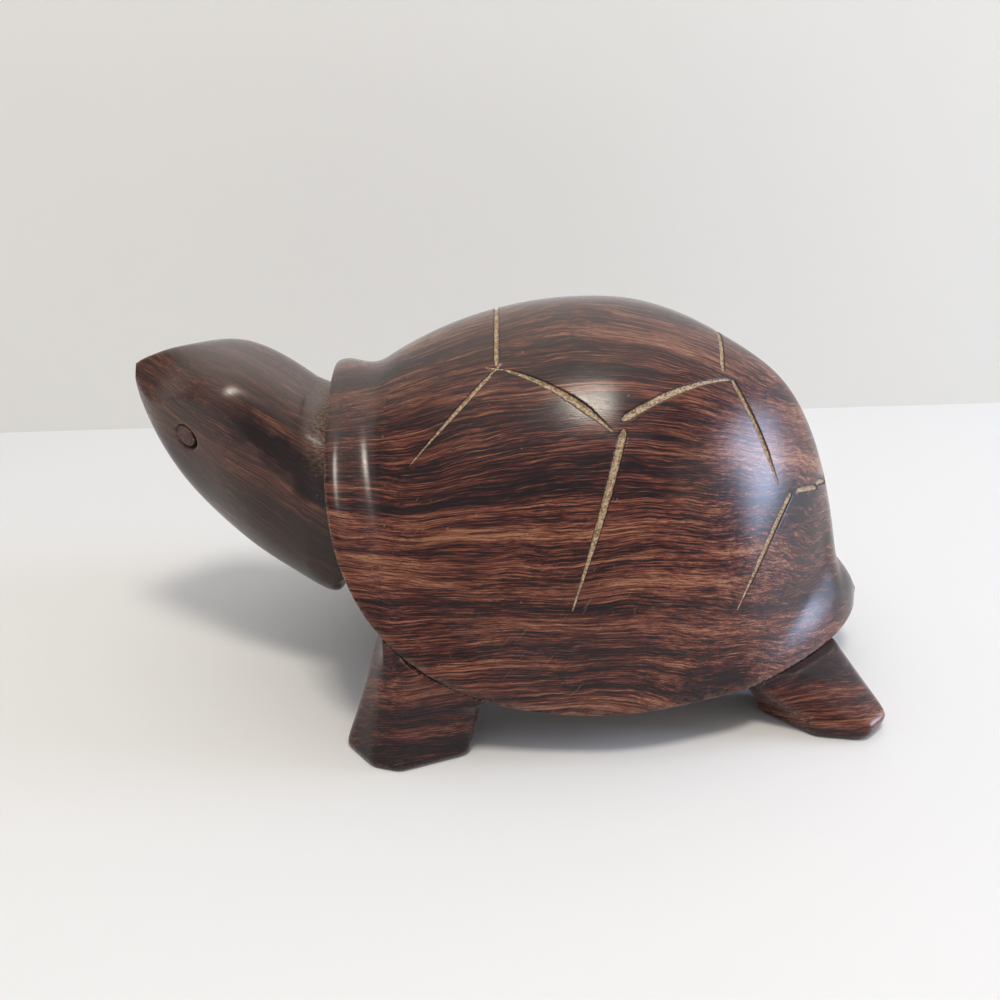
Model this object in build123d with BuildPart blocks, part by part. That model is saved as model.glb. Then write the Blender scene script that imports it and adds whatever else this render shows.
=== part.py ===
"""Carved wooden turtle, standing on four feet: shell, belly, head with its neck, legs and eye pegs.

Millimetres. +X runs from the beak to the tail, -Y is the turtle's left, Z is up from the table.
The origin is under the middle of the turtle's length, on the table.
Along the shell, places are given as runs from its waist, the widest station, and as angles over
the arch, from 0 at the left foot over 90 at the crest to 180 at the right foot.
"""
import os
from math import cos, radians, sin, sqrt

from build123d import *

# Length, from the beak back to the hind toes
beak_to_collar = 38.5
collar_to_waist = 50.0
waist_to_tail = 54.7
hind_toe_overhang = 0.5

# Shell dome: half-oval arches whose feet are just below the rim
shell_half_width = 43.0
crest_height = 74.5
arch_foot_drop = 4.0
front_width_overrun = 28.0
front_height_overrun = 20.0
rear_dome_power = 2.4
rear_width_power = 0.83
tail_keel = 0.3

# Shell rim, seen from the side: a rounded bow in front, nearly level behind the waist
collar_spring_drop = 18.5
rim_height = 10.0
tail_rim_rise = 2.0
rim_power = 2.3

# Edges of the shell that turn outwards
collar_lift = 7.0
collar_fade = 10.0
tail_lip_overhang = 4.0
tail_lip_thickness = 1.9
tail_lip_slope = 1.6
tail_lip_reach = 5.5
tail_flare = 4.5
tail_flare_power = 3.0
tail_tip_power = 14.0
tail_flare_height = 9.0

# Scute lines: strokes of a round gouge, deepest halfway
gouge_radius = 1.0
gouge_depth = 0.7
shoulder_run = -34.0
front_seam_run = -18.5
flank_run = 2.6
rear_seam_run = 24.0
hip_run = 34.5
tail_seam_run = 45.0
seam_angle = 67.0
flank_angle = 50.0
hip_angle = 44.5
crest_angle = 88.0
stroke_foot_angle = 18.0
stroke_foot_lead = 9.0

# Head and neck: a leaf between the crown line and the throat line
crown_height = 65.8
crown_setback = 13.7
crown_power = 2.2
beak_drop = 3.6
beak_depth = 1.3
nape_drop = 14.8
throat_height = 16.3
throat_past_collar = 12.1
throat_overrun = 0.4
beak_half_width = 0.8
head_half_width = 16.5
head_width_setback = 24.0
neck_half_width = 18.5
brow_setback = 15.0
brow_level = 0.83
neck_level = 0.55
crease_start = 10.0
crease_end = 30.0
crease_crown_angle = 45.0
crease_cheek_angle = 12.0
chest_setback = 10.0
neck_tenon_drop = 18.0
neck_tenon_radius = 8.0
neck_tenon_root = 2.0
neck_tenon_length = 16.0

# Eyes: pegs in drilled sockets, set high in them
eye_setback = 11.0
eye_height = 50.5
eye_socket_radius = 2.6
eye_socket_depth = 3.0
eye_peg_radius = 2.2
eye_peg_lift = 0.3

# Belly plate
belly_drop = 3.0
belly_inset = 17.0
belly_leg_gap = 3.0
belly_tail_gap = 13.0
belly_tail_half_width = 8.0
belly_tail_rise = 1.0
belly_spigot_radius = 6.0
belly_spigot_length = 6.0
belly_spigot_root = 1.0
belly_front_spigot_run = -10.0
belly_rear_spigot_run = 22.0

# Legs: corners of each section, along X and outwards from the leg's tenon
front_leg_setback = 21.0
front_leg_inset = 11.5
front_sole = [(-18, 5.5), (-12.3, 13.3), (-7, 15), (5.5, 9), (4, -5.5), (-14, -4.5)]
front_hip = [(-10.5, 0.5), (-9.5, 6.5), (-5, 9.5), (12, 9), (9, -7.5), (-8, -7.5)]
front_hip_rise = 15.0
hind_leg_inset = 22.5
hind_sole = [(-2.5, 5.5), (6.5, 14), (15.5, 15.5), (19.5, 10.5), (18, 2), (13, -2.5), (-2.5, -2)]
hind_toe = [(-4, 6), (6, 14.5), (16, 16), (20.5, 11), (18.5, 1), (13.5, -3.5), (-4, -3)]
hind_hip = [(-11.5, 13.5), (-0.5, 8.3), (8.5, 1), (12, -3.5), (10, -7), (4, -7), (-10.5, -6)]
hind_toe_height = 3.5
hind_hip_rise = 3.0
leg_corner_round = 2.5
sole_bevel = 0.8
leg_tenon_radius = 3.5
leg_tenon_root = 2.0
leg_tenon_length = 8.0

# Glue line between shaped faces, and round each tenon and peg
glue_gap = 0.1

overall_length = beak_to_collar + collar_to_waist + waist_to_tail + hind_toe_overhang
beak_x = -overall_length / 2
collar_x = beak_x + beak_to_collar
waist_x = collar_x + collar_to_waist
tail_x = waist_x + waist_to_tail
chest_x = collar_x + chest_setback
arch_foot = rim_height - arch_foot_drop
arch_rise = crest_height - arch_foot
collar_spring = crest_height - collar_spring_drop
bow_drop = collar_spring - rim_height
tail_rim = rim_height + tail_rim_rise
rear_dome_length = waist_to_tail - tail_lip_overhang
front_width_taper = collar_to_waist + front_width_overrun
front_height_taper = collar_to_waist + front_height_overrun
front_leg = Vector(collar_x + front_leg_setback, shell_half_width - front_leg_inset)
hind_toe_reach = max(x for x, _ in hind_toe)
hind_leg = Vector(tail_x + hind_toe_overhang - hind_toe_reach, shell_half_width - hind_leg_inset)
throat_setback = beak_to_collar + throat_past_collar
chest_from_beak = beak_to_collar + chest_setback
belly_front_x = chest_x + glue_gap
belly_tail_x = tail_x - belly_tail_gap
cut_width = 2 * shell_half_width


def blend(start, end, value):
    """Smooth step from 0 at start to 1 at end."""
    share = min(1.0, max(0.0, (value - start) / (end - start)))
    return share * share * (3 - 2 * share)


def dome_half_width(run):
    """Half width of the arch."""
    if run < 0:
        return shell_half_width * sqrt(1 - (run / front_width_taper) ** 2)
    return shell_half_width * (1 - (run / waist_to_tail) ** 2) ** rear_width_power


def dome_height(run):
    """Height of the crest, which ends behind in a thin lip."""
    if run < 0:
        return arch_foot + arch_rise * sqrt(1 - (run / front_height_taper) ** 2)
    fall = max(0.0, 1 - (run / rear_dome_length) ** rear_dome_power)
    crest = arch_foot + arch_rise * sqrt(fall)
    to_tail = waist_to_tail - run
    lip = tail_rim + tail_lip_thickness + tail_lip_slope * to_tail
    return max(crest, lip) if to_tail < tail_lip_reach else crest


def rim_level(run):
    """Height of the rim."""
    if run < 0:
        share = 1 - min(1.0, -run / collar_to_waist) ** rim_power
        return collar_spring - bow_drop * share ** (1 / rim_power)
    return rim_height + tail_rim_rise * run / waist_to_tail


def flare(run, height):
    """How far the edge of the shell is turned outwards, at a point seen from the side."""
    if run < 0:
        drop = max(0.0, collar_spring - height) / bow_drop
        reach = ((-run / collar_to_waist) ** rim_power + drop**rim_power) ** (1 / rim_power)
        fade = 1 - blend(0, collar_fade, collar_to_waist * (1 - reach))
        return collar_lift * (run / collar_to_waist) ** 2 * fade
    fade = 1 - blend(0, tail_flare_height, height - rim_level(run))
    share = run / waist_to_tail
    return tail_flare * share**tail_flare_power * (1 - share**tail_tip_power) * fade


def shell_point(run, angle):
    """Point on the outside of the shell."""
    half_width = dome_half_width(run)
    rise = dome_height(run) - arch_foot
    turn = radians(angle)
    side = -1 if angle <= 90 else 1
    keel = 1 + tail_keel * blend(0, waist_to_tail, run)
    y = side * half_width * abs(cos(turn)) ** keel
    z = arch_foot + rise * sin(turn)
    outwards = Vector(0, -cos(turn) / half_width, sin(turn) / rise).normalized()
    return Vector(waist_x + run, y, z) + outwards * flare(run, z)


def shell_normal(run, angle):
    """Outward direction of the shell's surface."""
    step = 0.1
    along = shell_point(run + step, angle) - shell_point(run - step, angle)
    over = shell_point(run, angle + step) - shell_point(run, angle - step)
    return along.cross(over).normalized()


def arch_section(run):
    """Closed arch of the dome."""
    points = [shell_point(run, angle) for angle in arch_angles]
    flat_points = [Vector(point.Y, point.Z) for point in points]
    with BuildSketch(Plane.YZ.offset(waist_x + run)) as section:
        with BuildLine():
            add(Edge.make_spline(flat_points, parameters=arch_angles))
            Line(flat_points[-1], flat_points[0])
        make_face()
    return section.sketch


def above_underside(gap):
    """Side view of all that lies above the underside of the shell, lowered by a gap."""
    reach = collar_to_waist + gap
    drop = bow_drop + gap
    ceiling = crest_height + collar_lift
    beyond_tail = waist_to_tail + collar_lift
    bow_points = [
        (
            waist_x - reach * abs(cos(radians(turn))) ** (2 / rim_power),
            collar_spring - drop * sin(radians(turn)) ** (2 / rim_power),
        )
        for turn in range(0, 91, 15)
    ]
    with BuildSketch(Plane.XZ) as profile:
        with BuildLine():
            bow = Spline(*bow_points, tangents=((0, -1), (1, 0)))
            back = Line(bow @ 1, (waist_x + beyond_tail, rim_level(beyond_tail) - gap))
            rise = Line(back @ 1, (waist_x + beyond_tail, ceiling))
            top = Line(rise @ 1, (waist_x - reach, ceiling))
            Line(top @ 1, bow @ 0)
        make_face()
    return profile.sketch


def stroke_arc(start_run, start_angle, end_run, end_angle):
    """Path of the gouge's centre: just clear of the surface at both ends, and deepest halfway."""
    places = [
        (start_run, start_angle, 0),
        ((start_run + end_run) / 2, (start_angle + end_angle) / 2, gouge_depth),
        (end_run, end_angle, 0),
    ]
    return [
        shell_point(run, angle) + shell_normal(run, angle) * (gouge_radius - depth)
        for run, angle, depth in places
    ]


def crown_level(setback):
    """Height of the head's top line at a setback from the beak."""
    if setback < crown_setback:
        return crown_height - beak_drop * (1 - setback / crown_setback) ** crown_power
    share = (setback - crown_setback) / (beak_to_collar - crown_setback)
    return crown_height - nape_drop * share**crown_power


def throat_level(setback):
    """Height of the head's lower line at a setback from the beak."""
    reach = throat_setback + throat_overrun
    beak_under = crown_height - beak_drop - beak_depth
    oval = (beak_under - throat_height) / (1 - sqrt(1 - (throat_setback / reach) ** 2))
    return throat_height + oval * (1 - sqrt(1 - ((throat_setback - setback) / reach) ** 2))


def neck_section(setback):
    """Section of the head or neck: an arc from brow to brow over a deep cheek and throat curve."""
    widening = sin(radians(90) * min(1.0, setback / head_width_setback))
    half_width = beak_half_width + (head_half_width - beak_half_width) * widening
    half_width += (neck_half_width - head_half_width) * blend(head_width_setback, beak_to_collar, setback)
    top = crown_level(setback)
    bottom = throat_level(setback)
    level = 0.5 + (brow_level - 0.5) * blend(-beak_depth, brow_setback, setback)
    level += (neck_level - brow_level) * blend(brow_setback, beak_to_collar, setback)
    brow = bottom + (top - bottom) * level
    crease = 1 - blend(crease_start, crease_end, setback)
    crown_way = Vector(0, 1).rotate(Axis.Z, crease_crown_angle * crease)
    cheek_way = Vector(0, 1).rotate(Axis.Z, -crease_cheek_angle * crease)
    right_brow = (half_width, brow)
    left_brow = (-half_width, brow)
    crown_ends = ((crown_way.X, crown_way.Y), (crown_way.X, -crown_way.Y))
    cheek_ends = ((cheek_way.X, -cheek_way.Y), (cheek_way.X, cheek_way.Y))
    with BuildSketch(Plane.YZ.offset(beak_x + setback)) as section:
        with BuildLine():
            Spline(right_brow, (0, top), left_brow, tangents=crown_ends)
            Spline(left_brow, (0, bottom), right_brow, tangents=cheek_ends)
        make_face()
    return section.sketch


def belly_half_width(x):
    """Half width of the belly plate: narrow between each pair of legs, wide at the waist."""
    front = front_leg.Y + min(y for _, y in front_sole + front_hip) - belly_leg_gap
    hind = hind_leg.Y + min(y for _, y in hind_toe + hind_hip) - belly_leg_gap
    waist = shell_half_width - belly_inset
    half_width = neck_half_width + (front - neck_half_width) * blend(chest_x, front_leg.X, x)
    half_width += (waist - front) * blend(front_leg.X, waist_x, x)
    half_width += (hind - waist) * blend(waist_x, hind_leg.X, x)
    return half_width + (belly_tail_half_width - hind) * blend(hind_leg.X, belly_tail_x, x)


def belly_section(x):
    """Section of the belly plate: a shallow tray, closed above the underside of the shell."""
    half_width = belly_half_width(x)
    underside = rim_level(x - waist_x)
    chest_drop = rim_level(chest_x - waist_x) - throat_height
    drop = chest_drop + (belly_drop - chest_drop) * blend(chest_x, front_leg.X, x)
    bottom = underside - drop + belly_tail_rise * blend(hind_leg.X, belly_tail_x, x)
    top = underside + glue_gap
    shoulder = (top + bottom) / 2
    with BuildSketch(Plane.YZ.offset(x)) as section:
        with BuildLine():
            tray = ThreePointArc((-half_width, shoulder), (0, bottom), (half_width, shoulder))
            Polyline(tray @ 1, (half_width, top), (-half_width, top), tray @ 0)
        make_face()
    return section.sketch


def leg_section(corners, side, centre, height):
    """Section of a leg with rounded corners."""
    with BuildSketch(Plane.XY.offset(height)) as section:
        with BuildLine():
            Polyline(*[(centre.X + x, side * (centre.Y + y)) for x, y in corners], close=True)
        make_face()
        fillet(section.vertices(), leg_corner_round)
    return section.sketch


def tenon_base(centre, side):
    """Point on the shell's underside over the middle of a leg's tenon."""
    return Vector(centre.X, side * centre.Y, rim_level(centre.X - waist_x))


def mirror_eye(vector, side):
    """A place or direction at the left eye, or its mirror image at the right eye."""
    return Vector(vector.X, -side * vector.Y, vector.Z)


# Scute strokes as pairs of run and angle, on the left side and then over the crest
left_strokes = [
    (front_seam_run, seam_angle, shoulder_run, flank_angle),
    (front_seam_run + gouge_radius, seam_angle, flank_run - gouge_radius, flank_angle),
    (flank_run + gouge_radius, flank_angle, rear_seam_run - gouge_radius, seam_angle),
    (flank_run + gouge_radius, flank_angle, flank_run - stroke_foot_lead, stroke_foot_angle),
    (rear_seam_run + gouge_radius, seam_angle, hip_run - gouge_radius, hip_angle),
    (hip_run + gouge_radius, hip_angle, hip_run - stroke_foot_lead, stroke_foot_angle),
    (hip_run + 2 * gouge_radius, hip_angle, tail_seam_run, crest_angle),
]
right_strokes = [(run, 180 - angle, end, 180 - turn) for run, angle, end, turn in left_strokes]
crest_strokes = [(run, seam_angle, run, 180 - seam_angle) for run in (front_seam_run, rear_seam_run)]

# Places of the lofted sections, closer together where the edge of the shell turns outwards
arch_angles = list(range(0, 181, 10))
front_stations = [1.04, 1.0, 0.96, 0.92, 0.88, 0.84, 0.78, 0.7, 0.6, 0.44, 0.24]
rear_stations = [0.0, 0.22, 0.4, 0.55, 0.68, 0.78, 0.85, 0.905, 0.942, 0.969, 0.994]
dome_runs = [-share * collar_to_waist for share in front_stations]
dome_runs += [share * waist_to_tail for share in rear_stations]
head_stations = [0.01, 0.06, 0.15, 0.25, 0.37, 0.5, 0.64, 0.8]
head_setbacks = [share * chest_from_beak for share in head_stations] + [chest_from_beak]
belly_stations = [belly_front_x + (belly_tail_x - belly_front_x) * step / 8 for step in range(9)]

neck_tenon_place = Plane((collar_x, 0, collar_spring - neck_tenon_drop), z_dir=(1, 0, 0))
belly_spigot_runs = (belly_front_spigot_run, belly_rear_spigot_run)
sides = {"left": -1, "right": 1}

with BuildPart() as shell:
    loft([arch_section(run) for run in dome_runs])
    extrude(above_underside(0), amount=cut_width, both=True, mode=Mode.INTERSECT)
    for stroke in left_strokes + right_strokes + crest_strokes:
        with BuildLine() as path:
            ThreePointArc(*stroke_arc(*stroke))
        with BuildSketch(path.line ^ 0):
            Circle(gouge_radius)
        sweep(path=path.line, mode=Mode.SUBTRACT)
    with Locations(neck_tenon_place.offset(-neck_tenon_root)):
        Cylinder(
            neck_tenon_radius + glue_gap,
            neck_tenon_root + neck_tenon_length + glue_gap,
            align=(Align.CENTER, Align.CENTER, Align.MIN),
            mode=Mode.SUBTRACT,
        )
    for side in sides.values():
        with Locations(tenon_base(front_leg, side), tenon_base(hind_leg, side)):
            Cylinder(leg_tenon_radius + glue_gap, 2 * (leg_tenon_length + glue_gap), mode=Mode.SUBTRACT)
    for run in belly_spigot_runs:
        with Locations((waist_x + run, 0, rim_level(run))):
            Cylinder(belly_spigot_radius + glue_gap, 2 * (belly_spigot_length + glue_gap), mode=Mode.SUBTRACT)

with BuildPart() as belly:
    loft([belly_section(x) for x in belly_stations])
    extrude(above_underside(glue_gap), amount=cut_width, both=True, mode=Mode.SUBTRACT)
    for run in belly_spigot_runs:
        with Locations((waist_x + run, 0, rim_level(run) + belly_spigot_length)):
            Cylinder(
                belly_spigot_radius,
                belly_spigot_length + belly_spigot_root,
                align=(Align.CENTER, Align.CENTER, Align.MAX),
            )

with BuildPart() as head:
    loft([neck_section(setback) for setback in head_setbacks])
    extrude(above_underside(glue_gap), amount=cut_width, both=True, mode=Mode.SUBTRACT)
    head_blank = head.part
    eye_line = Axis((beak_x + eye_setback, 0, eye_height), (0, -1, 0))
    cheek_hits = [hit for face in head.faces() for hit in face.find_intersection_points(eye_line)]
    left_place, left_way = min(cheek_hits, key=lambda hit: hit[0].Y)
    with Locations(neck_tenon_place.offset(-neck_tenon_root)):
        Cylinder(
            neck_tenon_radius,
            neck_tenon_root + neck_tenon_length,
            align=(Align.CENTER, Align.CENTER, Align.MIN),
        )
    for side in sides.values():
        place, way = mirror_eye(left_place, side), mirror_eye(left_way, side)
        with Locations(Plane(place - way * eye_socket_depth, z_dir=way)):
            Cylinder(
                eye_socket_radius,
                2 * eye_socket_depth,
                align=(Align.CENTER, Align.CENTER, Align.MIN),
                mode=Mode.SUBTRACT,
            )

os.makedirs("parts", exist_ok=True)

for hand, side in sides.items():
    place, way = mirror_eye(left_place, side), mirror_eye(left_way, side)
    lift = (Vector(0, 0, 1) - way * way.Z).normalized() * eye_peg_lift
    with BuildPart() as eye:
        with Locations(Plane(place + lift - way * (eye_socket_depth - glue_gap), z_dir=way)):
            Cylinder(eye_peg_radius, 2 * eye_socket_depth, align=(Align.CENTER, Align.CENTER, Align.MIN))
        add(head_blank, mode=Mode.INTERSECT)
    eye.part.label = hand + "_eye"
    export_step(eye.part, "parts/" + hand + "_eye.step")

    with BuildPart() as front:
        loft(
            [
                leg_section(front_sole, side, front_leg, 0),
                leg_section(front_hip, side, front_leg, rim_height + front_hip_rise),
            ]
        )
        extrude(above_underside(glue_gap), amount=cut_width, both=True, mode=Mode.SUBTRACT)
        chamfer(front.faces().sort_by(Axis.Z)[0].edges(), sole_bevel)
        with Locations(tenon_base(front_leg, side) + Vector(0, 0, leg_tenon_length)):
            Cylinder(
                leg_tenon_radius,
                leg_tenon_length + leg_tenon_root,
                align=(Align.CENTER, Align.CENTER, Align.MAX),
            )
    front.part.label = "front_" + hand + "_leg"
    export_step(front.part, "parts/front_" + hand + "_leg.step")

    with BuildPart() as hind:
        loft(
            [
                leg_section(hind_sole, side, hind_leg, 0),
                leg_section(hind_toe, side, hind_leg, hind_toe_height),
                leg_section(hind_hip, side, hind_leg, rim_height + hind_hip_rise),
            ],
            ruled=True,
        )
        extrude(above_underside(glue_gap), amount=cut_width, both=True, mode=Mode.SUBTRACT)
        chamfer(hind.faces().sort_by(Axis.Z)[0].edges(), sole_bevel)
        with Locations(tenon_base(hind_leg, side) + Vector(0, 0, leg_tenon_length)):
            Cylinder(
                leg_tenon_radius,
                leg_tenon_length + leg_tenon_root,
                align=(Align.CENTER, Align.CENTER, Align.MAX),
            )
    hind.part.label = "rear_" + hand + "_leg"
    export_step(hind.part, "parts/rear_" + hand + "_leg.step")

shell.part.label = "shell"
export_step(shell.part, "parts/shell.step")
belly.part.label = "belly"
export_step(belly.part, "parts/belly.step")
head.part.label = "head_and_neck"
export_step(head.part, "parts/head_and_neck.step")
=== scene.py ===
"""Carved wooden turtle: the dressed pieces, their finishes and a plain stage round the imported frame.

Metres. +X runs from the beak to the tail, -Y is the turtle's left, and Z is up from the table.
Along the shell, a run is measured from its waist, the widest station, and an angle goes over the
arch from 0 at the left foot over 90 at the crest to 180 at the right foot.
"""
import math
from typing import NamedTuple

import bmesh
import bpy
import numpy as np
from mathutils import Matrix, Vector
from mathutils.kdtree import KDTree


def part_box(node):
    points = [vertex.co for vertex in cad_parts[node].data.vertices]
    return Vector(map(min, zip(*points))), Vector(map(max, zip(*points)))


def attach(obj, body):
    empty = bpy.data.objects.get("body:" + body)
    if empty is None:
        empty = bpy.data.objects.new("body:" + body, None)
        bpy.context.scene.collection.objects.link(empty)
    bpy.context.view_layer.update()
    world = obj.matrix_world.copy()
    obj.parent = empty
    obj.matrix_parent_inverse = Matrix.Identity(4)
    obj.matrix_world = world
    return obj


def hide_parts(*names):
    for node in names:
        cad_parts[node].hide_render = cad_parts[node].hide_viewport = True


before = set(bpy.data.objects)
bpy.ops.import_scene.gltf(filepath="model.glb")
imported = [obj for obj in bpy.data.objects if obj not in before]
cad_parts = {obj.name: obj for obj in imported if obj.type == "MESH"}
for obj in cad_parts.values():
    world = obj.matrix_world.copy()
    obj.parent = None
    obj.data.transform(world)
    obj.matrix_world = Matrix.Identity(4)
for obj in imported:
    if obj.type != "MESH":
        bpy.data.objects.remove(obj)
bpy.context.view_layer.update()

bl_info = {
    "name": "Carved Turtle",
    "version": (1, 0, 0),
    "blender": (4, 5, 0),
    "location": "View3D > Sidebar > Turtle",
    "description": "Builds the pieces, the wood finishes and the stage of a carved turtle",
    "category": "Object",
}

MM = 0.001
SHELL_LOW, SHELL_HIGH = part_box("shell")
LEGS = ("front_left_leg", "front_right_leg", "rear_left_leg", "rear_right_leg")
EYES = ("left_eye", "right_eye")

# Least lengths, so that nothing is divided by zero
TINY = 1e-12
HAIR = 1e-9

# Shell form, as in the solid but for a fuller rear shoulder that flows into a rounded brim at the tail
COLLAR_TO_WAIST = 50.0 * MM
WAIST_TO_TAIL = 54.7 * MM
SHELL_HALF_WIDTH = 43.0 * MM
CREST_HEIGHT = SHELL_HIGH.z
RIM_HEIGHT = SHELL_LOW.z
WAIST_X = SHELL_LOW.x + COLLAR_TO_WAIST
ARCH_FOOT = RIM_HEIGHT - 4.0 * MM
ARCH_RISE = CREST_HEIGHT - ARCH_FOOT
FRONT_WIDTH_TAPER = COLLAR_TO_WAIST + 28.0 * MM
FRONT_HEIGHT_TAPER = COLLAR_TO_WAIST + 20.0 * MM
REAR_DOME_LENGTH = WAIST_TO_TAIL - 4.37 * MM
REAR_DOME_POWER = 2.175
SHOULDER_RUN = 41.7 * MM
SHOULDER_RISE = 5.0 * MM
SHOULDER_SPREAD = 11.8 * MM
REAR_WIDTH_POWER = 0.86
PINCH = 0.26
PINCH_START = 24.0 * MM
PINCH_END = 50.0 * MM
RIM_WIDTH_POWER = 0.83
TAIL_KEEL = 0.3
COLLAR_SPRING = CREST_HEIGHT - 18.5 * MM
BOW_DROP = COLLAR_SPRING - RIM_HEIGHT
RIM_POWER = 2.3
TAIL_RIM_RISE = 2.0 * MM
TAIL_RIM = RIM_HEIGHT + TAIL_RIM_RISE
COLLAR_LIFT = 7.0 * MM
COLLAR_FADE = 10.0 * MM
TAIL_FLARE = 4.5 * MM
TAIL_FLARE_POWER = 3.0
TAIL_TIP_POWER = 14.0
TAIL_LIP_THICKNESS = 1.9 * MM
BRIM_RISE = 14.0 * MM
BRIM_RUN = 7.0 * MM
BRIM_START = 30.0 * MM
BRIM_INSET = 0.25
BRIM_CORE = 0.6
BRIM_BLEND = 3.0 * MM
BRIM_BLEND_WIDTH = 6.0 * MM

# How finely the shell is laid out, rounded over and worn along its edge
RIM_SAMPLES = 400
COLLAR_SAMPLES = 200
TAIL_CROWDING = 1.5
HALVINGS = 40
SLOPE_RUN = 0.01 * MM
SLOPE_ANGLE = 0.01
ARCH_LENGTH = 85.0 * MM
FILLET_POINTS = 6
UNDER_COLUMNS = 15
UNDER_PULL = 4.0 * MM
TIP_ROUND = 0.4
LEAST_ROUND = 1e-6
EDGE_WEAR = 0.5
EDGE_WEAR_FADE = 0.15 * MM
ON_OUTSIDE = 0.99
FINER_NEAR_CUTS = (2.4 * MM, 1.7 * MM, 1.25 * MM)

# Points closer than these lengths become one point
WELD = 2e-6
SLIVER = 1e-6
SOLID_WELD = 1e-7

# Shape of a gouge stroke: how it enters, tapers and leaves, as shares of its length and width
STROKE_SAMPLES = 260
ENTRY_SHARE = 0.05
EXIT_SHARE = 0.03
EXIT_TAPER = 0.72
LEAST_SWELL = 0.05
GOUGE_POWER = 0.75
# Half width in millimetres at which a stroke is cut to the full depth
FULL_DEPTH_HALF_WIDTH = 0.7


class Stroke(NamedTuple):
    """Gouge stroke from a run and angle to another, with the half width of the cut at its widest place.

    Its middle bows towards the tail. It starts with a share of its width, and its peak is the share of
    its length at which it is widest.
    """

    run: float
    angle: float
    end_run: float
    end_angle: float
    half_width: float
    bow: float = 0.0
    start: float = 1.0
    peak: float = 0.35


# Runs, half widths and bows in millimetres, angles in degrees
LEFT_STROKES = (
    Stroke(-19.1, 66.4, -34.1, 49.6, 0.48, bow=0.3),
    Stroke(-17.1, 66.1, 1.7, 50.6, 0.78, bow=1.0, start=0.45, peak=0.68),
    Stroke(4.0, 51.2, -5.3, 20.4, 0.80, bow=0.5),
    Stroke(3.5, 52.7, 24.4, 67.8, 0.76),
    Stroke(24.9, 68.0, 33.6, 44.0, 0.56, bow=0.4, peak=0.6),
    Stroke(36.7, 43.6, 25.0, 19.2, 0.66, bow=0.4, peak=0.5),
    Stroke(37.7, 44.1, 43.4, 55.6, 0.60, bow=1.05, peak=0.95),
    Stroke(43.1, 54.8, 45.2, 90.0, 0.52, bow=1.5, peak=0.5),
)
RIGHT_STROKES = tuple(s._replace(angle=180 - s.angle, end_angle=180 - s.end_angle) for s in LEFT_STROKES)
CREST_STROKES = (
    Stroke(-18.7, 67.6, -18.7, 112.4, 0.52, peak=0.7),
    Stroke(23.1, 69.5, 23.1, 110.5, 0.48, bow=0.55, peak=0.7),
)
CROSS_CUTS = (Stroke(-20.6, 67.9, -17.0, 66.0, 0.22), Stroke(-17.6, 68.2, -19.6, 65.6, 0.20))

# Neck and chest: where sanding is held back, how far the end goes on out of sight, dust and hollows
NECK_HOLD = 3.0 * MM
NECK_REACH = 8.0 * MM
REACH_START = -5.0 * MM
REACH_FULL = 1.0 * MM
CHEST_SETBACK = 10.0 * MM
CHEST_REACH = 2.5 * MM
CHEST_SPREAD = 4.0 * MM
CHEST_TOP = 22.0 * MM
NECK_FOOT = 29.0 * MM
DUST_REACH = 6.0 * MM
DUST_START = 44.0 * MM
DUST_FULL = 52.0 * MM
HOLLOW_DEPTH = 0.9 * MM
HOLLOW_TO_COLLAR = 5.0 * MM

# Hollow behind each brow, and a band of painted shade over it: places across and along a slope seen from the
# side, in millimetres
TEMPLE_ACROSS = (0.694, 0.0, 0.720)
TEMPLE_ALONG = (0.720, 0.0, -0.694)
TEMPLE_MIDDLE = 7.0
HOLLOW_HALF_WIDTH = 6.5
HOLLOW_START = -81.0
HOLLOW_FULL = -70.0
CROWN_HALF_WIDTH = 4.0
CHEEK_HALF_WIDTH = 9.0
BAND_EDGE = 4.6
BAND_CORE = 1.6
BAND_START = -79.0
BAND_FULL = -72.0
BAND_WANDER = 12.0
TEMPLE_SHADE_SHARE = 0.85

# Legs and belly: where sanding is held back, and the cove at the top of a front leg
BELLY_HOLD = 1.5 * MM
LEG_HOLD = 1.2 * MM
SOLE_HOLD = 0.85
SOLE_BEVEL = 2.5 * MM
SOLE_FADE = 7.0 * MM
LEG_TOP = 1.0 * MM
COVE_REACH = 5.0 * MM
COVE_SWELL = 3.6 * MM
COVE_TURN = 3.0 * MM
RIM_CLEARANCE = 0.1 * MM

# Curving per millimetre that still counts as flat, and how much more makes a worn edge
FLAT_CURVING = 0.08
WORN_CURVING = 0.25


class TurtleShellSettings(bpy.types.PropertyGroup):
    """Sizes of the dressed shell that the solid leaves plain."""

    cell: bpy.props.FloatProperty(
        name="Cell", description="Size of the shell's faces away from the cuts",
        default=1.35 * MM, min=0.4 * MM, unit="LENGTH",
    )
    edge_round: bpy.props.FloatProperty(
        name="Edge Round", description="How far the rim and the collar are rounded over",
        default=0.4 * MM, min=0.1 * MM, unit="LENGTH",
    )
    cut_depth: bpy.props.FloatProperty(
        name="Cut Depth", description="Depth of a gouge stroke at its widest place",
        default=0.65 * MM, min=0.0, unit="LENGTH",
    )
    chatter: bpy.props.FloatProperty(
        name="Chatter", description="How ragged the walls and floor of a cut are",
        default=0.55, min=0.0, max=2.0, subtype="FACTOR",
    )
    chatter_size: bpy.props.FloatProperty(
        name="Chatter Size", description="Length of one tear along a cut",
        default=0.9 * MM, min=0.1 * MM, unit="LENGTH",
    )


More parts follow.
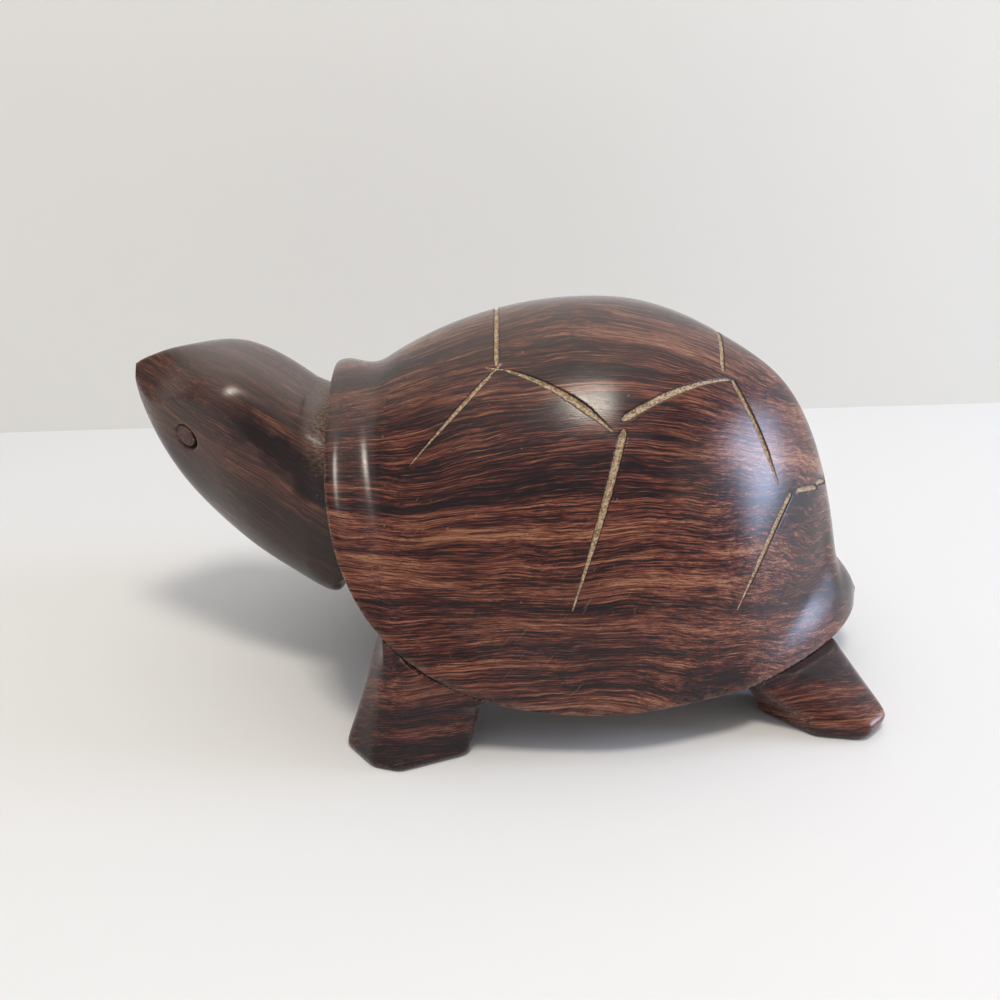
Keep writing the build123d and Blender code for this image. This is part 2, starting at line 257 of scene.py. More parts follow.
class TurtleCarvingSettings(bpy.types.PropertyGroup):
    """Face sizes and sanding of the carved copies of the other solids."""

    head_cell: bpy.props.FloatProperty(
        name="Head Cell", description="Size of the head's faces",
        default=0.36 * MM, min=0.2 * MM, unit="LENGTH",
    )
    leg_cell: bpy.props.FloatProperty(
        name="Leg Cell", description="Size of the legs' faces",
        default=0.36 * MM, min=0.2 * MM, unit="LENGTH",
    )
    belly_cell: bpy.props.FloatProperty(
        name="Belly Cell", description="Size of the belly's faces",
        default=0.6 * MM, min=0.2 * MM, unit="LENGTH",
    )
    eye_cell: bpy.props.FloatProperty(
        name="Eye Cell", description="Size of the eye pegs' faces",
        default=0.12 * MM, min=0.05 * MM, unit="LENGTH",
    )
    sanding: bpy.props.IntProperty(
        name="Sanding", description="Smoothing passes that soften the edges of the head, belly and eyes",
        default=7, min=0, max=60,
    )
    leg_sanding: bpy.props.IntProperty(
        name="Leg Sanding", description="Smoothing passes that soften the edges of the legs",
        default=70, min=0, max=200,
    )


def colour_property(name, description, default):
    """A colour that a user would change."""
    return bpy.props.FloatVectorProperty(
        name=name, description=description, default=default, size=3, min=0, max=1, subtype="COLOR"
    )


class TurtleWoodSettings(bpy.types.PropertyGroup):
    """Colours and gloss of the wood."""

    vein: colour_property("Vein", "Darkest bands of the heartwood", (0.0095, 0.0042, 0.0052))
    heart: colour_property("Heart", "Main red-brown of the heartwood", (0.058, 0.0140, 0.0115))
    streak: colour_property("Streak", "Orange-brown streaks of the fibres", (0.165, 0.052, 0.030))
    fleck: colour_property("Fleck", "Palest fibres", (0.31, 0.145, 0.080))
    cut: colour_property("Cut", "Bare wood on the floor of a gouge stroke", (0.52, 0.40, 0.26))
    cut_dark: colour_property("Cut Dark", "Torn and soiled wood in a gouge stroke", (0.17, 0.105, 0.062))
    worn: colour_property("Worn", "Wood rubbed pale on the edges", (0.30, 0.21, 0.15))
    # Grey of the film on upward faces: partly dust, partly painted sheen of the pale room reflected on the
    # upper side
    film_and_sheen: colour_property("Film", "Thin grey film that settles on the upper side", (0.120, 0.100, 0.092))
    dull: colour_property("Dull", "Grey-brown of end grain and handled wood", (0.062, 0.042, 0.035))
    gloss: bpy.props.FloatProperty(
        name="Roughness", description="Roughness of the polished surface",
        default=0.21, min=0.05, max=1.0, subtype="FACTOR",
    )


class TurtleStageSettings(bpy.types.PropertyGroup):
    """Floor, wall and camera."""

    floor: colour_property("Floor", "Colour of the table top", (0.70, 0.70, 0.70))
    wall: colour_property("Wall", "Colour of the wall behind it", (0.74, 0.73, 0.70))
    lens: bpy.props.FloatProperty(
        name="Lens", description="Focal length of the camera in millimetres", default=54.0, min=10.0
    )
    distance: bpy.props.FloatProperty(
        name="Distance", description="From the camera to the turtle's middle",
        default=0.2992, min=0.05, unit="LENGTH",
    )
    elevation: bpy.props.FloatProperty(
        name="Elevation", description="Angle at which the camera looks down",
        default=math.radians(24.0), subtype="ANGLE",
    )
    target: bpy.props.FloatVectorProperty(
        name="Target", description="Point at the middle of the picture",
        default=(-0.00135, 0.0, 0.0335), size=3, subtype="TRANSLATION", unit="LENGTH",
    )


def blend(start, end, value):
    """Smooth step from 0 at start to 1 at end."""
    share = np.clip((value - start) / (end - start), 0, 1)
    return share * share * (3 - 2 * share)


def dome_half_width(run):
    """Half width of the shell's arch."""
    front = np.sqrt(np.clip(1 - (run / FRONT_WIDTH_TAPER) ** 2, 0, 1))
    power = REAR_WIDTH_POWER + PINCH * blend(PINCH_START, PINCH_END, run)
    rear = np.clip(1 - (run / WAIST_TO_TAIL) ** 2, 0, 1) ** power
    return SHELL_HALF_WIDTH * np.where(run < 0, front, rear)


def dome_height(run):
    """Height of the crest."""
    reach = np.abs(run)
    front = np.sqrt(np.clip(1 - (reach / FRONT_HEIGHT_TAPER) ** 2, 0, 1))
    rear = np.sqrt(np.clip(1 - (reach / REAR_DOME_LENGTH) ** REAR_DOME_POWER, 0, 1))
    shoulder = SHOULDER_RISE * np.exp(-(((run - SHOULDER_RUN) / SHOULDER_SPREAD) ** 2))
    return ARCH_FOOT + ARCH_RISE * np.where(run < 0, front, rear) + shoulder


def brim_height(run):
    """Height of the brim's own low arch over the arch's foot, from the tail's thin tip forward."""
    to_tail = WAIST_TO_TAIL - run
    return TAIL_RIM + TAIL_LIP_THICKNESS - ARCH_FOOT + BRIM_RISE * (1 - np.exp(-to_tail / BRIM_RUN))


def brim_half_width(run):
    """Half width of the brim's arch at its foot, so that it meets the rim."""
    along = np.clip(run / WAIST_TO_TAIL, 0, 1)
    rim = SHELL_HALF_WIDTH * (1 - along**2) ** RIM_WIDTH_POWER
    rim = rim + TAIL_FLARE * along**TAIL_FLARE_POWER * (1 - along**TAIL_TIP_POWER)
    low = (RIM_HEIGHT + TAIL_RIM_RISE * along - ARCH_FOOT) / brim_height(run)
    inset = BRIM_INSET * (1 - blend(0, BRIM_START, run))
    return rim / np.sqrt(1 - low**2) * (1 - inset) + HAIR


def rim_level(run):
    """Height of the rim."""
    share = 1 - np.clip(-run / COLLAR_TO_WAIST, 0, 1) ** RIM_POWER
    front = COLLAR_SPRING - BOW_DROP * share ** (1 / RIM_POWER)
    return np.where(run < 0, front, RIM_HEIGHT + TAIL_RIM_RISE * run / WAIST_TO_TAIL)


def bow_reach(run, height):
    """Share of the way out to the rim's bow, seen from the side: 1 on the bow."""
    ahead = np.maximum(0, -run) / COLLAR_TO_WAIST
    drop = np.maximum(0, COLLAR_SPRING - height) / BOW_DROP
    return (ahead**RIM_POWER + drop**RIM_POWER) ** (1 / RIM_POWER)


def flare(run, height):
    """How far the collar is turned outwards."""
    to_bow = COLLAR_TO_WAIST * (1 - bow_reach(run, height))
    lift = COLLAR_LIFT * (run / COLLAR_TO_WAIST) ** 2 * (1 - blend(0, COLLAR_FADE, to_bow))
    return np.where(run < 0, lift, 0.0)


def shell_point(run, angle):
    """Points on the outside of the shell."""
    run, angle = np.broadcast_arrays(np.asarray(run, float), np.asarray(angle, float))
    brim_width, brim_rise = brim_half_width(run), brim_height(run)
    half_width = np.maximum(dome_half_width(run), BRIM_CORE * brim_width)
    rise = np.maximum(dome_height(run) - ARCH_FOOT, BRIM_CORE * brim_rise)
    turn = np.radians(angle)
    side = np.where(angle <= 90, -1.0, 1.0)
    keel = 1 + TAIL_KEEL * blend(0, WAIST_TO_TAIL, run)
    y = side * half_width * np.abs(np.cos(turn)) ** keel
    z = rise * np.sin(turn)
    # Behind the waist the dome and the brim flow into each other, seen from the arch's foot
    reach = np.maximum(np.hypot(y, z), TINY)
    brim_reach = reach / np.maximum(np.hypot(y / brim_width, z / brim_rise), TINY)
    soft = BRIM_BLEND * blend(0, BRIM_START, run) * np.minimum(1, brim_width / BRIM_BLEND_WIDTH)
    joined = (reach + brim_reach + np.sqrt((reach - brim_reach) ** 2 + soft**2)) / 2
    growth = np.where(run > 0, joined / reach, 1.0)
    y, z = y * growth, ARCH_FOOT + z * growth
    out_y, out_z = -np.cos(turn) * rise, np.sin(turn) * half_width
    lift = flare(run, z) / np.maximum(np.hypot(out_y, out_z), TINY)
    return np.stack([WAIST_X + run, y + out_y * lift, z + out_z * lift], -1)


def unit(vectors):
    """The same directions with a length of one."""
    return vectors / np.maximum(np.linalg.norm(vectors, axis=-1, keepdims=True), TINY)


def towards(directions, wanted):
    """The directions, each turned round where it points away from the wanted one."""
    return directions * np.where(np.sum(directions * wanted, axis=1) < 0, -1, 1)[:, None]


def rim_angle(run, height):
    """Angle on the left at which the shell comes down to a height."""
    low, high = np.zeros_like(run), np.full_like(run, 90.0)
    for _ in range(HALVINGS):
        middle = (low + high) / 2
        under = shell_point(run, middle)[..., 2] < height
        low, high = np.where(under, middle, low), np.where(under, high, middle)
    return (low + high) / 2


def shell_boundary(cell):
    """Runs and angles of the left edge, evenly spaced from the tail to the top of the collar.

    The third list holds the run on the crest that each of them faces.
    """
    rear_run = WAIST_TO_TAIL * (1 - np.linspace(0, 1, RIM_SAMPLES) ** TAIL_CROWDING)
    turn = np.radians(np.linspace(90, 0, RIM_SAMPLES))[1:]
    bow_run = -COLLAR_TO_WAIST * np.cos(turn) ** (2 / RIM_POWER)
    bow_height = COLLAR_SPRING - BOW_DROP * np.sin(turn) ** (2 / RIM_POWER)
    rim_run = np.concatenate([rear_run, bow_run])
    rim_z = np.concatenate([rim_level(rear_run), bow_height])
    rim = rim_angle(rim_run, rim_z)
    collar = np.linspace(rim[-1], 90, COLLAR_SAMPLES)[1:]
    runs = np.concatenate([rim_run, np.full_like(collar, -COLLAR_TO_WAIST)])
    angles = np.concatenate([rim, collar])
    steps = np.linalg.norm(np.diff(shell_point(runs, angles), axis=0), axis=1)
    length = np.concatenate([[0], np.cumsum(steps)])
    even = np.linspace(0, length[-1], round(length[-1] / cell) + 1)
    waist_length = length[len(rear_run) - 1]
    ahead = np.clip((even - waist_length) / (length[-1] - waist_length), 0, 1)
    runs, angles = np.interp(even, length, runs), np.interp(even, length, angles)
    return runs, angles, np.where(even < waist_length, runs, -COLLAR_TO_WAIST * ahead)


def edge_frame(runs, angles, crest_runs):
    """Points of the left edge, the outside's slopes there, and the ways from it over and under the shell."""
    edge = shell_point(runs, angles)
    along = (shell_point(runs + SLOPE_RUN, angles) - edge) / SLOPE_RUN
    over = (edge - shell_point(runs, angles - SLOPE_ANGLE)) / SLOPE_ANGLE
    tangent = unit(np.gradient(edge, axis=0))
    tangent[-1] = (0, 1, 0)
    crest = shell_point(crest_runs, np.full_like(runs, 90.0))
    outer = towards(unit(np.cross(np.cross(along, over), tangent)), crest - edge)
    slope = unit(np.gradient(edge[:, [0, 2]], axis=0))
    flat = np.zeros(len(edge))
    under_normal = np.stack([slope[:, 1], flat, -slope[:, 0]], -1)
    inwards = np.stack([flat, -edge[:, 1], np.full(len(edge), -UNDER_PULL)], -1)
    inner = towards(unit(np.cross(under_normal, tangent)), inwards)
    return edge, np.stack([along, over], -1), outer, inner


def shell_grid(cell, edge_round):
    """Loops of points round the shell, one for each place along its edge.

    Each point also has its run, its angle, whether it is on the outside and how worn it is.
    """
    runs, angles, crest_runs = shell_boundary(cell)
    crest_runs = np.maximum(crest_runs, -COLLAR_TO_WAIST + edge_round)
    edge, slopes, outer, inner = edge_frame(runs, angles, crest_runs)
    reach = np.minimum(edge_round, TIP_ROUND * np.abs(edge[:, 1]) + LEAST_ROUND)
    reach[runs < 0] = edge_round
    # The inset edge on the outside, as run and angle
    inset = np.array([np.linalg.lstsq(slope, way, rcond=None)[0] for slope, way in zip(slopes, outer)])
    inset_run = runs + inset[:, 0] * reach
    inset_angle = np.minimum(90.0, angles + inset[:, 1] * reach)
    share = np.linspace(0, 1, round(ARCH_LENGTH / cell) + 1)
    left_run = inset_run[:, None] + (crest_runs - inset_run)[:, None] * share
    left_angle = inset_angle[:, None] + (90 - inset_angle)[:, None] * share
    left = shell_point(left_run, left_angle)
    inner_edge = edge + inner * reach[:, None]
    bend = np.linspace(0, 1, FILLET_POINTS)[1:-1, None]
    fillet = (
        left[:, :1] * (1 - bend) ** 2
        + edge[:, None] * 2 * bend * (1 - bend)
        + inner_edge[:, None] * bend**2
    )
    across = np.linspace(1, -1, UNDER_COLUMNS)
    under = inner_edge[:, None] * np.stack([np.ones_like(across), across, np.ones_like(across)], -1)
    flip = np.array([1, -1, 1])
    loops = np.concatenate(
        [left[:, ::-1], fillet, under, (fillet * flip)[:, ::-1], (left * flip)[:, :-1]], axis=1
    )

    def ring(on_left, on_right, on_fillet=0.0, on_under=0.0):
        fillets = np.full(fillet.shape[:2], on_fillet)
        unders = np.broadcast_to(on_under, under.shape[:2])
        return np.concatenate([on_left[:, ::-1], fillets, unders, fillets, on_right[:, :-1]], axis=1)

    distance = np.linalg.norm(left - edge[:, None], axis=-1)
    worn = np.clip(1 - (distance - edge_round) / EDGE_WEAR_FADE, 0, 1) * EDGE_WEAR
    worn_under = np.where(np.abs(across) == 1, EDGE_WEAR, 0.0)
    full = np.ones_like(left_run)
    values = {
        "run": ring(left_run, left_run),
        "angle": ring(left_angle, 180 - left_angle),
        "outside": ring(full, full),
        "edge": ring(worn, worn, 1.0, worn_under),
    }
    return loops, values


def stroke_lines(cut_depth):
    """Points along all gouge strokes, close together, with the half width and the depth of the cut there."""
    points, widths, depths = [], [], []
    share = np.linspace(0, 1, STROKE_SAMPLES)
    entry = np.sqrt(np.clip(share / ENTRY_SHARE, 0, 1))
    leaving = np.sqrt(np.clip((1 - share) / EXIT_SHARE, 0, 1))
    for stroke in (*LEFT_STROKES, *RIGHT_STROKES, *CREST_STROKES, *CROSS_CUTS):
        runs = stroke.run + (stroke.end_run - stroke.run) * share + stroke.bow * np.sin(np.pi * share)
        angles = stroke.angle + (stroke.end_angle - stroke.angle) * share
        # Blunt where the gouge enters, widest at the peak, and tapered where it leaves
        swell = stroke.start + (1 - stroke.start) * blend(0, stroke.peak, share)
        swell *= 1 - EXIT_TAPER * blend(stroke.peak, 1, share)
        swell *= entry * leaving
        points.append(shell_point(runs * MM, angles))
        widths.append(stroke.half_width * MM * np.maximum(swell, LEAST_SWELL))
        depths.append(cut_depth * (stroke.half_width / FULL_DEPTH_HALF_WIDTH) * swell)
    return np.concatenate(points), np.concatenate(widths), np.concatenate(depths)


def new_object(name, data):
    """A new object in the scene, at the origin."""
    made = bpy.data.objects.new(name, data)
    bpy.context.scene.collection.objects.link(made)
    return made


def finished_mesh(piece):
    """The piece takes the mesh that its modifiers make, and loses them."""
    graph = bpy.context.evaluated_depsgraph_get()
    mesh = bpy.data.meshes.new_from_object(
        piece.evaluated_get(graph), preserve_all_data_layers=True, depsgraph=graph
    )
    piece.modifiers.clear()
    old = piece.data
    piece.data = mesh
    bpy.data.meshes.remove(old)
    mesh.shade_smooth()


def mesh_points(mesh):
    """The mesh's points as an array."""
    flat = np.empty(len(mesh.vertices) * 3, np.float32)
    mesh.vertices.foreach_get("co", flat)
    return flat.reshape(-1, 3).astype(float)


def set_points(mesh, points):
    """The mesh's points go to new places."""
    mesh.vertices.foreach_set("co", points.ravel().astype(np.float32))
    mesh.update()


def point_normals(mesh):
    """The mesh's normals at its points."""
    flat = np.empty(len(mesh.vertices) * 3, np.float32)
    mesh.vertex_normals.foreach_get("vector", flat)
    return flat.reshape(-1, 3)


def set_value(mesh, name, values):
    """One number at each point, for a material to read."""
    layer = mesh.attributes.get(name) or mesh.attributes.new(name, "FLOAT", "POINT")
    layer.data.foreach_set("value", np.ascontiguousarray(values, np.float32))


def mesh_edges(mesh):
    """First and second point of each of the mesh's edges."""
    pairs = np.empty(len(mesh.edges) * 2, np.int32)
    mesh.edges.foreach_get("vertices", pairs)
    return pairs.reshape(-1, 2).T


def sand(mesh, passes, hold):
    """Each point goes halfway to the middle of its neighbours in each pass, less where it is held."""
    points = mesh_points(mesh)
    first, second = mesh_edges(mesh)
    size = len(points)
    count = np.bincount(first, minlength=size) + np.bincount(second, minlength=size)
    share = 0.5 * (1 - hold)
    for _ in range(passes):
        moved = points.copy()
        for axis in range(3):
            total = np.bincount(first, points[second, axis], size)
            total += np.bincount(second, points[first, axis], size)
            moved[:, axis] += share * (total / np.maximum(count, 1) - points[:, axis])
        points = moved
    set_points(mesh, points)


def edge_values(mesh):
    """How sharply each point stands out from its neighbours: 0 on a flat face, 1 on a worn edge."""
    points, normals = mesh_points(mesh), point_normals(mesh)
    first, second = mesh_edges(mesh)
    gap = points[second] - points[first]
    length = np.maximum(np.linalg.norm(gap, axis=1), HAIR)
    total, count = np.zeros(len(points)), np.zeros(len(points))
    np.add.at(total, first, -np.sum(normals[first] * gap, axis=1) / length**2)
    np.add.at(total, second, np.sum(normals[second] * gap, axis=1) / length**2)
    np.add.at(count, first, 1)
    np.add.at(count, second, 1)
    curving = total / np.maximum(count, 1) * MM
    return np.clip((curving - FLAT_CURVING) / WORN_CURVING, 0, 1)


def below_shell(points):
    """How far points lie below or ahead of the shell's underside."""
    run, height = points[:, 0] - WAIST_X, points[:, 2]
    front = (bow_reach(run, height) - 1) * COLLAR_TO_WAIST
    return np.where(run < 0, front, rim_level(run) - height)


def seam_values(mesh, reach):
    """1 where the piece meets the shell's underside, fading over a reach from it."""
    return 1 - blend(0, reach, np.abs(below_shell(mesh_points(mesh))))


def butt_values(mesh, reach):
    """1 where the piece meets the shell or, at the chest, the neck meets the belly."""
    at_chest = np.abs(mesh_points(mesh)[:, 0] - SHELL_LOW.x - CHEST_SETBACK)
    return np.maximum(seam_values(mesh, reach), 1 - blend(0, reach, at_chest))


def reach_shell(mesh):
    """The neck's end goes on behind the rim, into the shell and, lower down, into the belly."""
    points = mesh_points(mesh)
    from_collar = points[:, 0] - SHELL_LOW.x
    high = blend(CHEST_TOP, NECK_FOOT, points[:, 2])
    at_chest = 1 - blend(0, CHEST_SPREAD, np.abs(from_collar - CHEST_SETBACK))
    to_shell = NECK_REACH * blend(REACH_START, REACH_FULL, from_collar) * high
    points[:, 0] += to_shell + CHEST_REACH * at_chest * (1 - high)
    set_points(mesh, points)


def hollow_temples(mesh):
    """A shallow hollow behind each brow, running down to the collar."""
    points = mesh_points(mesh) / MM
    across = points @ TEMPLE_ACROSS - TEMPLE_MIDDLE
    along = points @ TEMPLE_ALONG
    bowl = np.clip(1 - (across / HOLLOW_HALF_WIDTH) ** 2, 0, 1) ** 2 * blend(HOLLOW_START, HOLLOW_FULL, along)
    beside = blend(CROWN_HALF_WIDTH, CHEEK_HALF_WIDTH, np.abs(points[:, 1]))
    bowl *= beside * (1 - seam_values(mesh, HOLLOW_TO_COLLAR))
    set_points(mesh, points * MM - point_normals(mesh) * (HOLLOW_DEPTH * bowl)[:, None])


def leg_hold(mesh):
    """How far sanding is held back: fully at the shell, and mostly on the bevels of the sole."""
    near_sole = 1 - blend(SOLE_BEVEL, SOLE_FADE, mesh_points(mesh)[:, 2])
    return np.maximum(seam_values(mesh, LEG_HOLD), SOLE_HOLD * near_sole)


def sweep_to_rim(mesh):
    """The top of a leg turns outwards in a cove, as far as the rim of the shell at most."""
    points = mesh_points(mesh)
    top = points[:, 2].max()
    centre = points[points[:, 2] > top - LEG_TOP].mean(axis=0)
    below = below_shell(points)
    close = np.where(below > 0, np.clip(1 - below / COVE_REACH, 0, 1) ** 2, 0)
    run = points[:, 0] - WAIST_X
    rim = np.abs(shell_point(run, rim_angle(run, rim_level(run)))[:, 1]) - RIM_CLEARANCE
    reached = np.maximum(np.abs(points[:, 1]), rim)
    side = np.sign(centre[1])
    away = side * blend(-COVE_TURN, COVE_TURN, side * (points[:, 1] - centre[1]))
    points[:, 1] = np.clip(points[:, 1] + away * COVE_SWELL * close, -reached, reached)
    set_points(mesh, points)


def carved_copy(name, node_name, cell):
    """A copy of a solid's mesh, welded and given even faces."""
    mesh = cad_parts[node_name].data.copy()
    mesh.materials.clear()
    work = bmesh.new()
    work.from_mesh(mesh)
    bmesh.ops.remove_doubles(work, verts=work.verts, dist=SOLID_WELD)
    work.to_mesh(mesh)
    work.free()
    piece = new_object(name, mesh)
    even = piece.modifiers.new("Even faces", "REMESH")
    even.mode = "VOXEL"
    even.voxel_size = cell
    finished_mesh(piece)
    return piece


def dress(piece, node_name, material):
    """The piece takes its finish and stands for its solid."""
    piece.data.materials.clear()
    piece.data.materials.append(material)
    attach(piece, "root")
    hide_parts(node_name)


def node(tree, kind, inputs=None, **settings):
    """A new node with its settings, and its inputs set to values or linked to sockets."""
    made = tree.nodes.new(kind)
    for name, value in settings.items():
        setattr(made, name, value)
    for key, value in (inputs or {}).items():
        if isinstance(value, bpy.types.NodeSocket):
            tree.links.new(value, made.inputs[key])
        else:
            made.inputs[key].default_value = value
    return made


def calc(tree, operation, *values, clamp=False):
    """Result of a Math node."""
    inputs = dict(enumerate(values))
    return node(tree, "ShaderNodeMath", inputs, operation=operation, use_clamp=clamp).outputs[0]


def vector_calc(tree, operation, *values):
    """Result of a Vector Math node."""
    return node(tree, "ShaderNodeVectorMath", dict(enumerate(values)), operation=operation).outputs[0]


def vector_measure(tree, operation, first, second):
    """Number that a Vector Math node finds for two vectors."""
    return node(tree, "ShaderNodeVectorMath", {0: first, 1: second}, operation=operation).outputs["Value"]


def scaled(tree, vector, factor):
    """A vector times a number."""
    return node(tree, "ShaderNodeVectorMath", {0: vector, "Scale": factor}, operation="SCALE").outputs[0]


def ramp(tree, value, low, high, start=0.0, end=1.0):
    """Smooth step of a value between two limits."""
    inputs = {"Value": value, "From Min": low, "From Max": high, "To Min": start, "To Max": end}
    return node(tree, "ShaderNodeMapRange", inputs, interpolation_type="SMOOTHSTEP").outputs["Result"]


def noise(tree, vector, detail, rough=0.5, scale=1.0):
    """Value and colour of a Noise Texture node on a vector."""
    inputs = {"Vector": vector, "Scale": scale, "Detail": detail, "Roughness": rough}
    return node(tree, "ShaderNodeTexNoise", inputs, noise_dimensions="3D").outputs


def strands(tree, point, stretch, detail, rough=0.5):
    """Noise on a point, with a scale of its own along each axis."""
    return noise(tree, vector_calc(tree, "MULTIPLY", point, stretch), detail, rough)


def mix(tree, share, first, second):
    """Mix of two colours, by the sockets of the Mix node's colour mode."""
    inputs = {0: share, 6: first, 7: second}
    return node(tree, "ShaderNodeMix", inputs, data_type="RGBA", clamp_factor=True).outputs[2]


def point_value(tree, name):
    """Number that a piece's points carry."""
    return node(tree, "ShaderNodeAttribute", attribute_name=name).outputs["Fac"]


def opaque(colour):
    """A colour setting as a node takes it."""
    return (*colour, 1)


def new_group(name, inputs, outputs):
    """An empty shader group with its sockets, and its input and output nodes."""
    tree = bpy.data.node_groups.new(name, "ShaderNodeTree")
    for socket, kind, default in inputs:
        made = tree.interface.new_socket(socket, in_out="INPUT", socket_type=kind)
        if default is not None:
            made.default_value = default
    for socket, kind in outputs:
        tree.interface.new_socket(socket, in_out="OUTPUT", socket_type=kind)
    return tree, tree.nodes.new("NodeGroupInput").outputs, tree.nodes.new("NodeGroupOutput")


FLOAT, COLOUR, VECTOR = "NodeSocketFloat", "NodeSocketColor", "NodeSocketVector"
WOOD_TONES = ("Vein", "Heart", "Streak", "Fleck")

# Layers of the wood: how they lean, and how they droop away from a middle, at places in millimetres
LAYER_LEAN = 0.42
LAYER_DROOP = 0.006
DROOP_MIDDLE = 8.0
DROOP_START = 45.0
DROOP_FULL = 75.0

# What bands, layers, streaks and hairs add up to on average, and how far dark bands and pores cover them
AVERAGE_TONE = 1.83
DARK_BAND_SHARE = 0.75
PORE_SHARE = 0.7


def grain_group():
    """Dark bands and short wavy fibre streaks along X, in layers that lean towards the left."""
    found = bpy.data.node_groups.get("Heartwood Grain")
    if found:
        return found
    tree, given, out = new_group(
        "Heartwood Grain",
        [
            ("Vector", VECTOR, None),
            *((tone, COLOUR, (0, 0, 0, 1)) for tone in WOOD_TONES),
            ("Darkness", FLOAT, 0.0),
            ("Contrast", FLOAT, 1.0),
        ],
        [("Color", COLOUR), ("Fibre", FLOAT)],
    )
    point = scaled(tree, given["Vector"], 1 / MM)
    sway = strands(tree, point, (0.020, 0.028, 0.028), 1.0)["Color"]
    ripple = strands(tree, point, (0.055, 0.09, 0.09), 3.0)["Color"]
    bent = vector_calc(tree, "MULTIPLY_ADD", sway, (0, 15, 15), point)
    bent = vector_calc(tree, "MULTIPLY_ADD", ripple, (0, 3.0, 3.0), bent)
    parts = node(tree, "ShaderNodeSeparateXYZ", {0: bent}).outputs
    # Layers lean with Y, and droop away from the middle of the dome
    layer = calc(tree, "MULTIPLY_ADD", parts["Y"], LAYER_LEAN, parts["Z"])
    off_middle = calc(tree, "SUBTRACT", parts["X"], DROOP_MIDDLE)
    droop = calc(tree, "MULTIPLY", calc(tree, "MULTIPLY", off_middle, off_middle), LAYER_DROOP)
    layer = calc(tree, "MULTIPLY_ADD", droop, ramp(tree, parts["Z"], DROOP_START, DROOP_FULL), layer)
    fibre = node(tree, "ShaderNodeCombineXYZ", {"X": parts["X"], "Y": parts["Y"], "Z": layer}).outputs[0]
    band = strands(tree, fibre, (0.009, 0.03, 0.15), 3.0, 0.55)[0]
    layers = strands(tree, fibre, (0.022, 0.12, 0.95), 2.0)[0]
    streaks = strands(tree, fibre, (0.085, 0.50, 3.4), 3.0, 0.65)[0]
    hairs = strands(tree, fibre, (0.26, 1.6, 7.5), 2.0, 0.6)[0]
    pores = strands(tree, fibre, (0.55, 4.5, 10.0), 1.0)[0]
    tone = calc(tree, "MULTIPLY", band, 1.1)
    tone = calc(tree, "MULTIPLY_ADD", layers, 0.55, tone)
    lively = calc(tree, "MULTIPLY_ADD", hairs, 0.6, streaks)
    tone = calc(tree, "MULTIPLY_ADD", lively, 1.25, tone)
    tone = calc(tree, "SUBTRACT", tone, calc(tree, "ADD", given["Darkness"], AVERAGE_TONE))
    tone = calc(tree, "MULTIPLY", tone, given["Contrast"])
    colour = mix(tree, ramp(tree, tone, -0.20, -0.02), given["Vein"], given["Heart"])
    colour = mix(tree, ramp(tree, tone, -0.02, 0.17), colour, given["Streak"])
    colour = mix(tree, ramp(tree, tone, 0.17, 0.40), colour, given["Fleck"])
    dark_band = calc(tree, "MULTIPLY", ramp(tree, band, 0.43, 0.33), DARK_BAND_SHARE)
    colour = mix(tree, dark_band, colour, given["Vein"])
    dark_pores = calc(tree, "MULTIPLY", ramp(tree, pores, 0.56, 0.68), PORE_SHARE)
    colour = mix(tree, dark_pores, colour, given["Vein"])
    tree.links.new(colour, out.inputs["Color"])
    tree.links.new(lively, out.inputs["Fibre"])
    return tree


def wear_group():
    """Where handling has rubbed the edges pale, and where fine scratches and nicks catch the light."""
    found = bpy.data.node_groups.get("Handling Wear")
    if found:
        return found
    tree, given, out = new_group(
        "Handling Wear",
        [("Vector", VECTOR, None), ("Edge", FLOAT, 0.0), ("Rubbing", FLOAT, 0.5)],
        [("Rubbed", FLOAT), ("Scratches", FLOAT), ("Smears", FLOAT)],
    )
    point = scaled(tree, given["Vector"], 1 / MM)
    broken = strands(tree, point, (0.45, 0.7, 0.7), 4.0, 0.65)[0]
    rubbed = calc(tree, "MULTIPLY", given["Edge"], ramp(tree, broken, 0.42, 0.62))
    tree.links.new(calc(tree, "MULTIPLY", rubbed, given["Rubbing"], clamp=True), out.inputs["Rubbed"])
    turned = node(tree, "ShaderNodeMapping", {"Vector": point, "Rotation": (0.5, 0.9, 0.3)}).outputs[0]
    fine = strands(tree, turned, (0.05, 3.2, 3.2), 2.0)[0]
    patch = strands(tree, point, (0.06, 0.06, 0.06), 2.0)[0]
    scratches = calc(tree, "MULTIPLY", ramp(tree, fine, 0.66, 0.74), ramp(tree, patch, 0.48, 0.62))
    specks = node(tree, "ShaderNodeTexVoronoi", {"Vector": point, "Scale": 0.16}).outputs["Distance"]
    nicks = ramp(tree, specks, 0.05, 0.02)
    tree.links.new(calc(tree, "MAXIMUM", scratches, nicks), out.inputs["Scratches"])
    smears = strands(tree, point, (0.05, 0.09, 0.09), 4.0, 0.6)[0]
    tree.links.new(smears, out.inputs["Smears"])
    return tree


class WoodLook(NamedTuple):
    """How the wood of one piece lies, and how much of each finish, painted sheen and painted shade it shows.
    """

    turn: tuple = (0, 0, 0)
    shift: tuple = (0, 0, 0)
    darkness: float = 0.0
    contrast: float = 1.0
    rubbing: float = 0.5
    # Share of the grey film on upward faces, which is partly dust and partly painted sheen
    film_and_sheen: float = 0.45
    dull: float = 0.0
    dust: float = 0.0
    # Whether the piece takes the band of painted shade behind the brow
    band: bool = False
    cuts: bool = False
